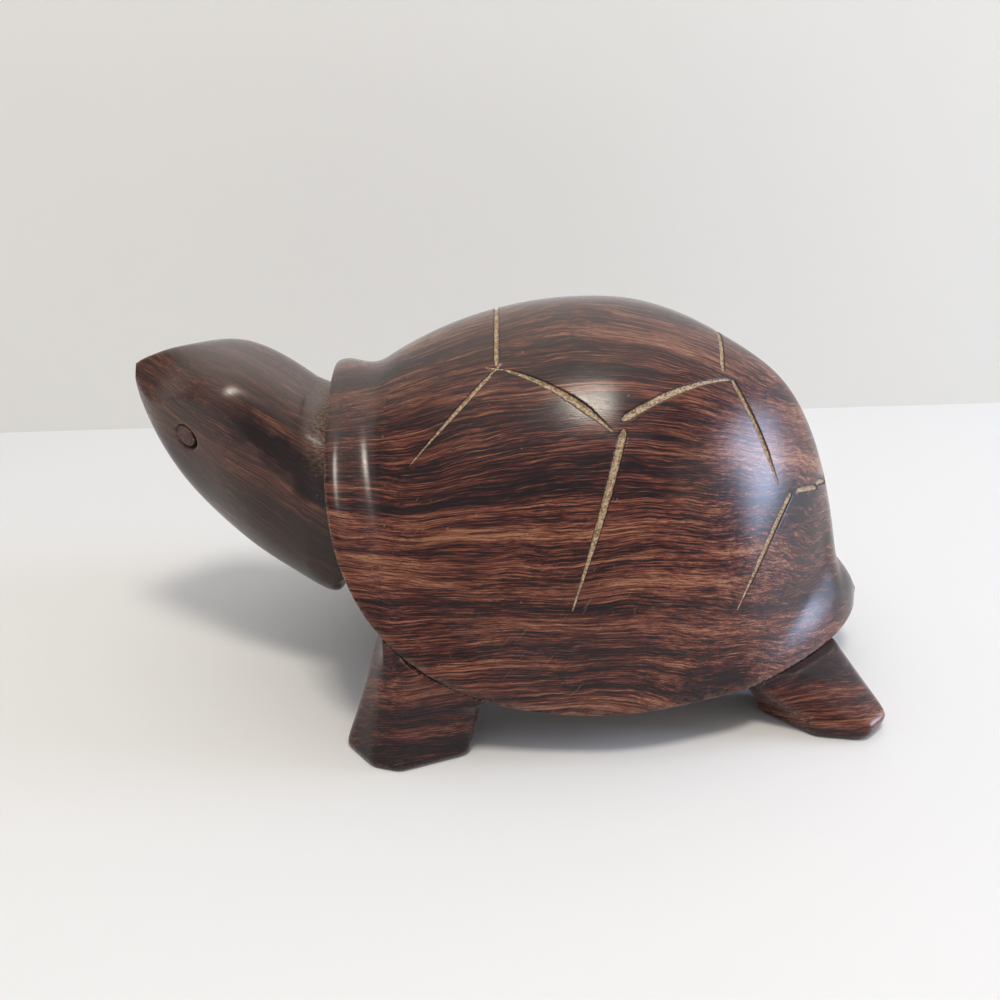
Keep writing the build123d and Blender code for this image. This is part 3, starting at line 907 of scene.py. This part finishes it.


# How strongly each part of the finish, the painted sheen and the painted shade show in the colour, the
# roughness and the height of the surface
# How far a face must turn up before the grey film, partly dust and partly painted sheen, starts
FILM_AND_SHEEN_START = 0.60
RUBBED_SHARE = 0.8
RUBBED_ROUGHNESS = 0.2
SCRATCH_SHARE = 0.35
SCRATCH_DEPTH = 0.3
SMEAR_GLOSSIER = 0.04
SMEAR_ROUGHER = 0.06
FIBRE_RELIEF = 0.5
DUST_ROUGHNESS = 0.35
CUT_ROUGHNESS = 0.35
# Share of the painted shade along the walls of a cut
CUT_SHADE_SHARE = 0.85
CUT_RELIEF = 1.2
RELIEF = {"Strength": 0.25, "Distance": 0.12 * MM}
POLISH = {"Specular IOR Level": 0.33, "Sheen Weight": 0.24, "Sheen Roughness": 0.25}


def painted_temple_shade(tree, place):
    """Share of the painted shade: a dark band that runs from behind the brow down to the collar, over the
    hollow there.
    """
    point = scaled(tree, place, 1 / MM)
    wander = calc(tree, "SUBTRACT", strands(tree, point, (0.12, 0.12, 0.12), 4.0, 0.6)[0], 0.5)
    off = calc(tree, "SUBTRACT", vector_measure(tree, "DOT_PRODUCT", point, TEMPLE_ACROSS), TEMPLE_MIDDLE)
    off = calc(tree, "ABSOLUTE", calc(tree, "MULTIPLY_ADD", wander, BAND_WANDER, off))
    along = vector_measure(tree, "DOT_PRODUCT", point, TEMPLE_ALONG)
    behind_brow = ramp(tree, along, BAND_START, BAND_FULL)
    share = calc(tree, "MULTIPLY", ramp(tree, off, BAND_EDGE, BAND_CORE), behind_brow)
    return calc(tree, "MULTIPLY", share, TEMPLE_SHADE_SHARE)


def dusty_share(tree, place, dust):
    """Share of the pale tufts of dust where the piece meets the shell."""
    tufts = ramp(tree, strands(tree, place, (900, 2600, 2600), 3.0, 0.6)[0], 0.40, 0.62)
    return calc(tree, "MULTIPLY", calc(tree, "MULTIPLY", point_value(tree, "seam"), tufts), dust)


def with_cuts(tree, place, wood, colour, rough, height):
    """Colour, roughness and height, with the torn bare wood of the gouge strokes and painted shade along
    their walls.
    """
    groove = point_value(tree, "groove")
    torn = strands(tree, place, (2200, 2200, 2200), 4.0, 0.7)[0]
    bare = mix(tree, ramp(tree, torn, 0.40, 0.60), opaque(wood.cut_dark), opaque(wood.cut))
    # Painted shade: the walls of each cut, near its edge, are darkened towards the vein colour
    painted_cut_shade = calc(tree, "MULTIPLY", ramp(tree, groove, 0.0, 0.12), CUT_SHADE_SHARE)
    colour = mix(tree, painted_cut_shade, colour, opaque(wood.vein))
    colour = mix(tree, ramp(tree, groove, 0.30, 0.62), colour, bare)
    rough = calc(tree, "MULTIPLY_ADD", ramp(tree, groove, 0.05, 0.4), CUT_ROUGHNESS, rough)
    tears = calc(tree, "MULTIPLY", torn, ramp(tree, groove, 0.2, 0.6))
    return colour, rough, calc(tree, "MULTIPLY_ADD", tears, CUT_RELIEF, height)


def wood_material(name, look):
    """Polished heartwood with its grain and wear, a grey film on upward faces that is partly dust and partly
    painted sheen, painted shade behind the brow where asked and, on the shell, the floor of the gouge strokes
    with painted shade along their walls.
    """
    wood = bpy.context.scene.turtle_wood
    material = bpy.data.materials.new(name)
    material.use_nodes = True
    tree = material.node_tree
    tree.nodes.clear()
    place = node(tree, "ShaderNodeTexCoord").outputs["Object"]
    turned = node(tree, "ShaderNodeMapping", {"Vector": place, "Rotation": look.turn, "Location": look.shift})
    grain_inputs = {tone: opaque(getattr(wood, tone.lower())) for tone in WOOD_TONES}
    grain_inputs |= {"Vector": turned.outputs[0], "Darkness": look.darkness, "Contrast": look.contrast}
    grain = node(tree, "ShaderNodeGroup", grain_inputs, node_tree=grain_group()).outputs
    wear_inputs = {"Vector": place, "Edge": point_value(tree, "edge"), "Rubbing": look.rubbing}
    wear = node(tree, "ShaderNodeGroup", wear_inputs, node_tree=wear_group()).outputs
    worn = opaque(wood.worn)
    colour = grain["Color"]
    if look.dull:
        colour = mix(tree, look.dull, colour, opaque(wood.dull))
    # Painted sheen: faces turned up are mixed towards the grey film, which stands for dust and for the pale
    # room reflected on the upper side
    facing = node(tree, "ShaderNodeSeparateXYZ", {0: node(tree, "ShaderNodeNewGeometry").outputs["Normal"]})
    film_and_sheen_share = calc(tree, "MULTIPLY", ramp(tree, facing.outputs["Z"], FILM_AND_SHEEN_START, 1.0), look.film_and_sheen)
    colour = mix(tree, film_and_sheen_share, colour, opaque(wood.film_and_sheen))
    # Painted shade: the hollow behind the brow is darkened towards the vein colour
    if look.band:
        colour = mix(tree, painted_temple_shade(tree, place), colour, opaque(wood.vein))
    colour = mix(tree, calc(tree, "MULTIPLY", wear["Rubbed"], RUBBED_SHARE), colour, worn)
    colour = mix(tree, calc(tree, "MULTIPLY", wear["Scratches"], SCRATCH_SHARE), colour, worn)
    rough = ramp(tree, wear["Smears"], 0.3, 0.7, wood.gloss - SMEAR_GLOSSIER, wood.gloss + SMEAR_ROUGHER)
    rough = calc(tree, "MULTIPLY_ADD", wear["Rubbed"], RUBBED_ROUGHNESS, rough)
    height = calc(tree, "MULTIPLY", grain["Fibre"], FIBRE_RELIEF)
    height = calc(tree, "SUBTRACT", height, calc(tree, "MULTIPLY", wear["Scratches"], SCRATCH_DEPTH))
    if look.dust:
        dusty = dusty_share(tree, place, look.dust)
        colour = mix(tree, dusty, colour, worn)
        rough = calc(tree, "MULTIPLY_ADD", dusty, DUST_ROUGHNESS, rough)
    if look.cuts:
        colour, rough, height = with_cuts(tree, place, wood, colour, rough, height)
    bump = node(tree, "ShaderNodeBump", {"Height": height, **RELIEF}).outputs[0]
    surface = {"Base Color": colour, "Roughness": rough, "Normal": bump, **POLISH}
    shader = node(tree, "ShaderNodeBsdfPrincipled", surface).outputs[0]
    node(tree, "ShaderNodeOutputMaterial", {"Surface": shader})
    return material


def stroke_tree():
    """Geometry nodes that carve gouge strokes into a surface along lines that lie on it."""
    tree = bpy.data.node_groups.new("Gouge Strokes", "GeometryNodeTree")
    sockets = {}
    for name, kind in (
        ("Geometry", "NodeSocketGeometry"),
        ("Lines", "NodeSocketObject"),
        ("Chatter", FLOAT),
        ("Chatter Size", FLOAT),
        ("Material", "NodeSocketMaterial"),
    ):
        sockets[name] = tree.interface.new_socket(name, in_out="INPUT", socket_type=kind).identifier
    tree.interface.new_socket("Geometry", in_out="OUTPUT", socket_type="NodeSocketGeometry")
    given = tree.nodes.new("NodeGroupInput").outputs
    out = tree.nodes.new("NodeGroupOutput")
    lines = node(tree, "GeometryNodeObjectInfo", {"Object": given["Lines"]}).outputs["Geometry"]
    here = node(tree, "GeometryNodeInputPosition").outputs[0]
    nearest = node(
        tree, "GeometryNodeSampleNearest", {"Geometry": lines, "Sample Position": here}, domain="POINT"
    ).outputs[0]

    def on_line(value, kind):
        inputs = {"Geometry": lines, "Value": value, "Index": nearest}
        return node(tree, "GeometryNodeSampleIndex", inputs, data_type=kind, domain="POINT").outputs[0]

    def line_value(name):
        value = node(tree, "GeometryNodeInputNamedAttribute", {"Name": name}, data_type="FLOAT").outputs[0]
        return on_line(value, "FLOAT")

    centre = on_line(node(tree, "GeometryNodeInputPosition").outputs[0], "FLOAT_VECTOR")
    away = vector_measure(tree, "DISTANCE", here, centre)
    tears = noise(tree, here, 3.0, 0.6, calc(tree, "DIVIDE", 1.0, given["Chatter Size"]))[0]
    ragged = calc(tree, "MULTIPLY_ADD", calc(tree, "SUBTRACT", tears, 0.5), given["Chatter"], 1.0)
    width = calc(tree, "MULTIPLY", line_value("half_width"), ragged)
    share = calc(tree, "DIVIDE", away, width)
    bowl = calc(tree, "SUBTRACT", 1.0, calc(tree, "MULTIPLY", share, share), clamp=True)
    groove = calc(tree, "POWER", bowl, GOUGE_POWER)
    depth = calc(tree, "MULTIPLY", calc(tree, "MULTIPLY", line_value("depth"), groove), ragged)
    normal = node(tree, "GeometryNodeInputNormal").outputs[0]
    offset = scaled(tree, normal, calc(tree, "MULTIPLY", depth, -1.0))
    marked = node(
        tree, "GeometryNodeStoreNamedAttribute",
        {"Geometry": given["Geometry"], "Name": "groove", "Value": groove}, data_type="FLOAT", domain="POINT",
    ).outputs[0]
    carved = node(tree, "GeometryNodeSetPosition", {"Geometry": marked, "Offset": offset}).outputs[0]
    plain = node(tree, "GeometryNodeRealizeInstances", {"Geometry": carved}).outputs[0]
    finish = {"Geometry": plain, "Material": given["Material"]}
    tree.links.new(node(tree, "GeometryNodeSetMaterial", finish).outputs[0], out.inputs[0])
    return tree, sockets


def finer_near_cuts(work, layers, lines):
    """The shell's faces are split again and again along the strokes, with new points laid on the form."""
    strokes = KDTree(len(lines))
    for place, line_point in enumerate(lines):
        strokes.insert(Vector(line_point), place)
    strokes.balance()
    for near in FINER_NEAR_CUTS:
        outside = [v for v in work.verts if v[layers["outside"]] > ON_OUTSIDE]
        close = {v for v in outside if strokes.find(v.co)[2] < near}
        faces = [f for f in work.faces if any(v in close for v in f.verts)]
        edges = {e for f in faces for e in f.edges}
        bmesh.ops.subdivide_edges(work, edges=list(edges), cuts=1, use_grid_fill=True)
        outside = [v for v in work.verts if v[layers["outside"]] > ON_OUTSIDE]
        runs, angles = (np.array([v[layers[name]] for v in outside]) for name in ("run", "angle"))
        for vert, point in zip(outside, shell_point(runs, angles)):
            vert.co = point


def smooth_shell(cell, edge_round, lines):
    """Closed mesh of the uncut shell, with smaller faces along the strokes."""
    loops, values = shell_grid(cell, edge_round)
    count, around = loops.shape[:2]
    index = np.arange(count * around).reshape(count, around)
    ahead, beside = index[:-1], index[1:]
    quads = np.stack([ahead, beside, np.roll(beside, -1, 1), np.roll(ahead, -1, 1)], -1).reshape(-1, 4)
    mesh = bpy.data.meshes.new("shell_skin")
    mesh.from_pydata(loops.reshape(-1, 3).tolist(), [], quads.tolist())
    for name, value in values.items():
        set_value(mesh, name, value.ravel())
    work = bmesh.new()
    work.from_mesh(mesh)
    bmesh.ops.remove_doubles(work, verts=work.verts, dist=WELD)
    bmesh.ops.dissolve_degenerate(work, edges=work.edges, dist=SLIVER)
    bmesh.ops.recalc_face_normals(work, faces=work.faces)
    finer_near_cuts(work, {name: work.verts.layers.float[name] for name in values}, lines)
    work.to_mesh(mesh)
    work.free()
    for name in ("run", "angle", "outside"):
        mesh.attributes.remove(mesh.attributes[name])
    mesh.shade_smooth()
    return mesh


class TURTLE_OT_shell(bpy.types.Operator):
    """Build the shell with its flared collar, rounded rim and gouge strokes"""

    bl_idname = "turtle.shell"
    bl_label = "Shell"

    def execute(self, context):
        sizes = context.scene.turtle_shell
        points, widths, depths = stroke_lines(sizes.cut_depth)
        line_mesh = bpy.data.meshes.new("stroke_lines")
        line_mesh.from_pydata(points.tolist(), [], [])
        set_value(line_mesh, "half_width", widths)
        set_value(line_mesh, "depth", depths)
        line_object = new_object("stroke_lines", line_mesh)
        piece = new_object("carved_shell", smooth_shell(sizes.cell, sizes.edge_round, points))
        tree, sockets = stroke_tree()
        material = wood_material("Dome heartwood", WoodLook(contrast=1.2, rubbing=0.45, cuts=True))
        carving = piece.modifiers.new("Gouge strokes", "NODES")
        carving.node_group = tree
        carving[sockets["Lines"]] = line_object
        carving[sockets["Chatter"]] = sizes.chatter
        carving[sockets["Chatter Size"]] = sizes.chatter_size
        carving[sockets["Material"]] = material
        finished_mesh(piece)
        bpy.data.objects.remove(line_object)
        dress(piece, "shell", material)
        return {"FINISHED"}


class TURTLE_OT_head(bpy.types.Operator):
    """Build the head and neck with its brow and eye sockets"""

    bl_idname = "turtle.head"
    bl_label = "Head and Neck"

    def execute(self, context):
        carving = context.scene.turtle_carving
        piece = carved_copy("carved_head_and_neck", "head_and_neck", carving.head_cell)
        sand(piece.data, carving.sanding, butt_values(piece.data, NECK_HOLD))
        reach_shell(piece.data)
        hollow_temples(piece.data)
        set_value(piece.data, "edge", edge_values(piece.data))
        high = blend(DUST_START, DUST_FULL, mesh_points(piece.data)[:, 2])
        set_value(piece.data, "seam", seam_values(piece.data, DUST_REACH) * high)
        # The head takes the band of painted shade behind its brows
        look = WoodLook(
            turn=(0.15, math.radians(-32), 0.1), darkness=0.06, rubbing=0.3, dust=0.5, dull=0.45, band=True
        )
        dress(piece, "head_and_neck", wood_material("Head heartwood", look))
        return {"FINISHED"}


class TURTLE_OT_legs(bpy.types.Operator):
    """Build the four legs with their bevelled soles"""

    bl_idname = "turtle.legs"
    bl_label = "Legs"

    def execute(self, context):
        carving = context.scene.turtle_carving
        rear = WoodLook(
            turn=(0.1, math.radians(6), 0.0), shift=(0.03, 0.01, 0.02), darkness=0.02, rubbing=0.25, film_and_sheen=0.1
        )
        front = rear._replace(darkness=0.12)
        for leg in LEGS:
            at_front = leg.startswith("front")
            material = wood_material(leg + "_heartwood", front if at_front else rear)
            piece = carved_copy("carved_" + leg, leg, carving.leg_cell)
            sand(piece.data, carving.leg_sanding, leg_hold(piece.data))
            if at_front:
                sweep_to_rim(piece.data)
            set_value(piece.data, "edge", edge_values(piece.data))
            dress(piece, leg, material)
        return {"FINISHED"}


class TURTLE_OT_belly(bpy.types.Operator):
    """Build the belly plate"""

    bl_idname = "turtle.belly"
    bl_label = "Belly"

    def execute(self, context):
        carving = context.scene.turtle_carving
        piece = carved_copy("carved_belly", "belly", carving.belly_cell)
        sand(piece.data, carving.sanding, butt_values(piece.data, BELLY_HOLD))
        set_value(piece.data, "edge", edge_values(piece.data))
        look = WoodLook(shift=(0.01, 0.03, 0.0), darkness=0.02, rubbing=0.4)
        dress(piece, "belly", wood_material("Belly heartwood", look))
        return {"FINISHED"}


class TURTLE_OT_eyes(bpy.types.Operator):
    """Build the eye pegs"""

    bl_idname = "turtle.eyes"
    bl_label = "Eyes"

    def execute(self, context):
        carving = context.scene.turtle_carving
        look = WoodLook(turn=(0.6, 0.3, 0.2), darkness=0.05, contrast=0.8, rubbing=0.5)
        material = wood_material("Eye heartwood", look)
        for eye in EYES:
            piece = carved_copy("carved_" + eye, eye, carving.eye_cell)
            sand(piece.data, carving.sanding, 0.0)
            set_value(piece.data, "edge", edge_values(piece.data))
            dress(piece, eye, material)
        return {"FINISHED"}


class Lamp(NamedTuple):
    """Soft rectangular lamp, with its place and the point that it is turned to."""

    name: str
    place: tuple
    aim: tuple
    width: float
    height: float
    watts: float
    colour: tuple


# The table, the foot of the wall on both sides, the paint, the lamps, the room and the camera
TABLE_REACH = 2.0
WALL_LEFT = (-TABLE_REACH, -0.034)
WALL_RIGHT = (TABLE_REACH, 0.302)
WALL_HEIGHT = 0.6
PAINT = {"Roughness": 0.6, "Specular IOR Level": 0.2}
TURTLE_MIDDLE = (0, 0, 0.03)
LAMPS = (
    Lamp("Ceiling", (0.0, -0.45, 1.20), (0.0, -0.45, 0.0), 1.8, 1.3, 3.4, (1.0, 0.98, 0.94)),
    Lamp("Ceiling lamp", (0.05, -0.34, 0.80), TURTLE_MIDDLE, 0.16, 0.16, 3.6, (1.0, 0.92, 0.80)),
    Lamp("Window", (0.94, 0.02, 0.24), TURTLE_MIDDLE, 0.33, 0.42, 6.8, (0.60, 0.73, 1.0)),
    Lamp("Side lamp", (0.95, -0.46, 0.49), TURTLE_MIDDLE, 0.50, 0.40, 0.5, (1.0, 0.82, 0.60)),
)
ROOM_LIGHT = {"Color": (0.96, 0.97, 1.0, 1), "Strength": 0.50}
ROOM_SEEN = {"Color": (1.0, 0.985, 0.95, 1), "Strength": 0.75}
SENSOR_WIDTH = 36.0
CLIP_START = 0.01


def matte_material(name, colour):
    """Plain paint for the stage."""
    material = bpy.data.materials.new(name)
    material.use_nodes = True
    shader = material.node_tree.nodes["Principled BSDF"]
    for key, value in {"Base Color": opaque(colour), **PAINT}.items():
        shader.inputs[key].default_value = value
    return material


def see_through_back(material):
    """The paint can be looked through from behind, so that the turtle shows from every side."""
    tree = material.node_tree
    paint = tree.nodes["Principled BSDF"].outputs[0]
    clear = node(tree, "ShaderNodeBsdfTransparent").outputs[0]
    behind = node(tree, "ShaderNodeNewGeometry").outputs["Backfacing"]
    either = node(tree, "ShaderNodeMixShader", {0: behind, 1: paint, 2: clear}).outputs[0]
    tree.links.new(either, tree.nodes["Material Output"].inputs["Surface"])


def stage_plane(name, corners, material):
    """One flat face of the stage."""
    mesh = bpy.data.meshes.new(name)
    mesh.from_pydata(corners, [], [tuple(range(len(corners)))])
    mesh.materials.append(material)
    plane = new_object(name, mesh)


def aim_at(thing, place, direction):
    """A lamp or camera goes to its place and looks along a direction."""
    thing.location = place
    thing.rotation_mode = "QUATERNION"
    thing.rotation_quaternion = direction.to_track_quat("-Z", "Y")


def light_lamp(lamp):
    """The light of one lamp."""
    data = bpy.data.lights.new(lamp.name, "AREA")
    data.shape = "RECTANGLE"
    data.size, data.size_y = lamp.width, lamp.height
    data.energy = lamp.watts
    data.color = lamp.colour
    aim_at(new_object(lamp.name, data), lamp.place, Vector(lamp.aim) - Vector(lamp.place))


def room_world(name):
    """Even light from the room, which looks pale where the camera sees past the wall."""
    world = bpy.data.worlds.new(name)
    world.use_nodes = True
    tree = world.node_tree
    tree.nodes.clear()
    room = node(tree, "ShaderNodeBackground", ROOM_LIGHT).outputs[0]
    seen = node(tree, "ShaderNodeBackground", ROOM_SEEN).outputs[0]
    camera_ray = node(tree, "ShaderNodeLightPath").outputs["Is Camera Ray"]
    either = node(tree, "ShaderNodeMixShader", {0: camera_ray, 1: room, 2: seen}).outputs[0]
    node(tree, "ShaderNodeOutputWorld", {"Surface": either})
    return world


class TURTLE_OT_stage(bpy.types.Operator):
    """Set the table, the wall, the lamps and the camera"""

    bl_idname = "turtle.stage"
    bl_label = "Stage"

    def execute(self, context):
        scene = context.scene
        stage = scene.turtle_stage
        reach = TABLE_REACH
        table = [(-reach, -reach, 0), (reach, -reach, 0), (reach, reach, 0), (-reach, reach, 0)]
        stage_plane("table_top", table, matte_material("Table top", stage.floor))
        foot = [(*WALL_LEFT, 0), (*WALL_RIGHT, 0)]
        top = [(*WALL_RIGHT, WALL_HEIGHT), (*WALL_LEFT, WALL_HEIGHT)]
        paint = matte_material("Wall paint", stage.wall)
        see_through_back(paint)
        stage_plane("back_wall", foot + top, paint)
        for lamp in LAMPS:
            light_lamp(lamp)
        scene.world = room_world("Room")
        data = bpy.data.cameras.new("Camera")
        data.lens = stage.lens
        data.sensor_width = SENSOR_WIDTH
        data.clip_start = CLIP_START
        camera = new_object("Camera", data)
        back = Vector((0, -math.cos(stage.elevation), math.sin(stage.elevation)))
        aim_at(camera, Vector(stage.target) + back * stage.distance, -back)
        scene.camera = camera
        scene.view_settings.view_transform = "Standard"
        return {"FINISHED"}


class TURTLE_PT_panel(bpy.types.Panel):
    """The turtle's pieces, in the order in which they are built"""

    bl_idname = "TURTLE_PT_panel"
    bl_label = "Carved Turtle"
    bl_space_type = "VIEW_3D"
    bl_region_type = "UI"
    bl_category = "Turtle"

    def draw(self, context):
        for operator in PIECES:
            self.layout.operator(operator.bl_idname)
        for group, kind in SETTINGS.items():
            box = self.layout.box()
            for name in kind.__annotations__:
                box.prop(getattr(context.scene, group), name)


SETTINGS = {
    "turtle_shell": TurtleShellSettings,
    "turtle_carving": TurtleCarvingSettings,
    "turtle_wood": TurtleWoodSettings,
    "turtle_stage": TurtleStageSettings,
}
PIECES = (TURTLE_OT_shell, TURTLE_OT_head, TURTLE_OT_legs, TURTLE_OT_belly, TURTLE_OT_eyes, TURTLE_OT_stage)


def register():
    """Add the settings, the operators and the panel."""
    for kind in (*SETTINGS.values(), *PIECES, TURTLE_PT_panel):
        bpy.utils.register_class(kind)
    for group, kind in SETTINGS.items():
        setattr(bpy.types.Scene, group, bpy.props.PointerProperty(type=kind))


def unregister():
    """Take them out again."""
    for group in SETTINGS:
        delattr(bpy.types.Scene, group)
    for kind in (TURTLE_PT_panel, *reversed(PIECES), *reversed(list(SETTINGS.values()))):
        bpy.utils.unregister_class(kind)


def main():
    """Build everything."""
    register()
    bpy.ops.turtle.shell()
    bpy.ops.turtle.head()
    bpy.ops.turtle.legs()
    bpy.ops.turtle.belly()
    bpy.ops.turtle.eyes()
    bpy.ops.turtle.stage()


if __name__ == "__main__":
    main()
